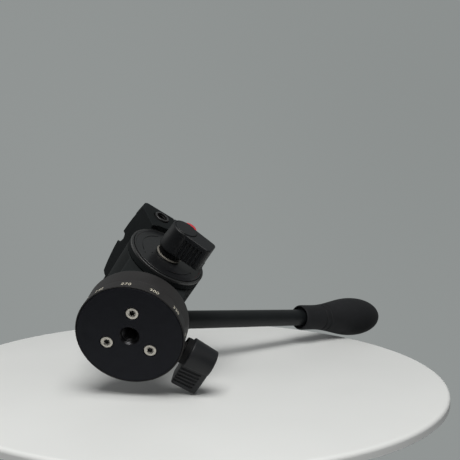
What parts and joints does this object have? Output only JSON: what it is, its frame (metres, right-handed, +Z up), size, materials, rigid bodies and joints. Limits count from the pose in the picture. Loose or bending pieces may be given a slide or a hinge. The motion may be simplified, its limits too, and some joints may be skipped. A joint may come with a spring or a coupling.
{
  "type": "fluid video head",
  "caption": "Compact fluid video head: round pan base with degree ring, tilt drum, clamp for a quick release plate, winged lock knobs and a tube handle with a bulb grip.",
  "frame": {"origin": "centre of the base's bottom face, on the pan axis, at the mouth of the tripod thread", "axes": "+Z up along the pan axis, +Y to the front (the lens side), -Y to the handle, +X to the clamp knob's side, -X to the tilt lock's side"},
  "size_m": [0.091, 0.218, 0.2078],
  "materials": {
    "base_plate": "black anodised, satin",
    "thread_bush": "blackened steel",
    "scale_ring": "dark anodised",
    "pan_spindle": "turned",
    "pan_drag_ring": "turned",
    "spindle_nut": "machined",
    "base_screw_1": "machined",
    "base_screw_2": "machined",
    "base_screw_3": "machined",
    "pan_housing": "dark anodised, satin",
    "pan_bearing": "ground",
    "pan_lock_shoe": "nylon",
    "tilt_bushing_left": "turned",
    "tilt_bushing_right": "turned",
    "tilt_drag_cup": "blackened",
    "pan_lock_knob": "black, fine grain",
    "pan_lock_stud": "machined",
    "tilt_bracket": "black anodised, satin",
    "side_plate": "black anodised, satin",
    "side_plate_screw_1": "machined",
    "side_plate_screw_2": "machined",
    "axle_cap": "black anodised",
    "tilt_axle": "ground",
    "tilt_rotor": "turned",
    "counterbalance_spring": "spring wire",
    "drum_cap": "black anodised, turned face",
    "tilt_lock_washer": "turned",
    "port_bush": "blackened steel",
    "level_ring": "dark anodised",
    "level_vial": "clear acrylic with green liquid",
    "tilt_lock_knob": "black, fine grain",
    "tilt_lock_stud": "machined",
    "safety_button": "red",
    "clamp_jaw": "black anodised",
    "clamp_knob": "black",
    "clamp_screw": "machined",
    "release_plate": "black anodised",
    "plate_pad_left": "black",
    "plate_pad_right": "black",
    "camera_screw": "machined",
    "handle_eye": "black anodised",
    "handle_tube": "black anodised",
    "handle_grip": "soft black",
    "handle_knob": "black, fine grain",
    "handle_stud": "machined"
  },
  "bodies": {
    "base": {"base_plate": "base_plate", "thread_bush": "thread_bush", "scale_ring": "scale_ring", "pan_spindle": "pan_spindle", "pan_drag_ring": "pan_drag_ring", "spindle_nut": "spindle_nut", "base_screw_1": "base_screw_1", "base_screw_2": "base_screw_2", "base_screw_3": "base_screw_3"},
    "pan": {"pan_housing": "pan_housing", "pan_bearing": "pan_bearing", "pan_lock_shoe": "pan_lock_shoe", "tilt_bushing_left": "tilt_bushing_left", "tilt_bushing_right": "tilt_bushing_right", "tilt_drag_cup": "tilt_drag_cup"},
    "pan_knob": {"pan_lock_knob": "pan_lock_knob", "pan_lock_stud": "pan_lock_stud"},
    "tilt": {"tilt_bracket": "tilt_bracket", "side_plate": "side_plate", "side_plate_screw_1": "side_plate_screw_1", "side_plate_screw_2": "side_plate_screw_2", "axle_cap": "axle_cap", "tilt_axle": "tilt_axle", "tilt_rotor": "tilt_rotor", "counterbalance_spring": "counterbalance_spring", "drum_cap": "drum_cap", "tilt_lock_washer": "tilt_lock_washer", "port_bush": "port_bush", "level_ring": "level_ring", "level_vial": "level_vial"},
    "tilt_knob": {"tilt_lock_knob": "tilt_lock_knob", "tilt_lock_stud": "tilt_lock_stud"},
    "button": {"safety_button": "safety_button"},
    "jaw": {"clamp_jaw": "clamp_jaw"},
    "clamp_handwheel": {"clamp_knob": "clamp_knob", "clamp_screw": "clamp_screw"},
    "plate": {"release_plate": "release_plate", "plate_pad_left": "plate_pad_left", "plate_pad_right": "plate_pad_right"},
    "camera_bolt": {"camera_screw": "camera_screw"},
    "handle": {"handle_eye": "handle_eye", "handle_tube": "handle_tube", "handle_grip": "handle_grip"},
    "handle_handwheel": {"handle_knob": "handle_knob", "handle_stud": "handle_stud"}
  },
  "joints": [
    {"name": "pan", "type": "hinge", "parent": "base", "child": "pan", "pos_m": [0, 0, 0.0135], "axis": [0, 0, 1], "continuous": true},
    {"name": "pan_lock", "type": "hinge", "parent": "pan", "child": "pan_knob", "pos_m": [-0.0014, -0.03207, 0.0128], "axis": [-0.0436, -0.999, 0], "range_deg": [-60, 180]},
    {"name": "tilt", "type": "hinge", "parent": "pan", "child": "tilt", "pos_m": [0, 0.0018, 0.0559], "axis": [1, 0, 0], "range_deg": [-70, 50]},
    {"name": "tilt_lock", "type": "hinge", "parent": "tilt", "child": "tilt_knob", "pos_m": [-0.0286, 0.0018, 0.0559], "axis": [-1, 0, 0], "range_deg": [-60, 180]},
    {"name": "safety_button_press", "type": "slide", "parent": "tilt", "child": "button", "axis": [1, 0, 0], "range_m": [0, 0.0025], "stiffness_N_per_m": 600, "springref_m": -0.001},
    {"name": "clamp_turn", "type": "hinge", "parent": "jaw", "child": "clamp_handwheel", "pos_m": [0.0321, 0.014, 0.0868], "axis": [1, 0, 0], "range_deg": [0, 601]},
    {"name": "clamp_slide", "type": "slide", "parent": "tilt", "child": "jaw", "axis": [1, 0, 0], "range_m": [0, 0.0025]},
    {"name": "plate_slide", "type": "slide", "parent": "tilt", "child": "plate", "axis": [0, 1, 0], "range_m": [-0.01, 0.01]},
    {"name": "camera_screw_turn", "type": "hinge", "parent": "plate", "child": "camera_bolt", "pos_m": [0, 0.0018, 0.0981], "axis": [0, 0, 1], "continuous": true},
    {"name": "handle_angle", "type": "hinge", "parent": "tilt", "child": "handle", "pos_m": [0.0226, -0.0202, 0.0669], "axis": [-1, 0, 0], "range_deg": [-15, 28]},
    {"name": "handle_lock", "type": "hinge", "parent": "handle", "child": "handle_handwheel", "pos_m": [0.0294, -0.0202, 0.0669], "axis": [1, 0, 0], "range_deg": [-180, 180]}
  ],
  "couplings": [
    {"joint": "clamp_turn", "follows": "clamp_slide", "rad_per_m": 4188.8}
  ]
}
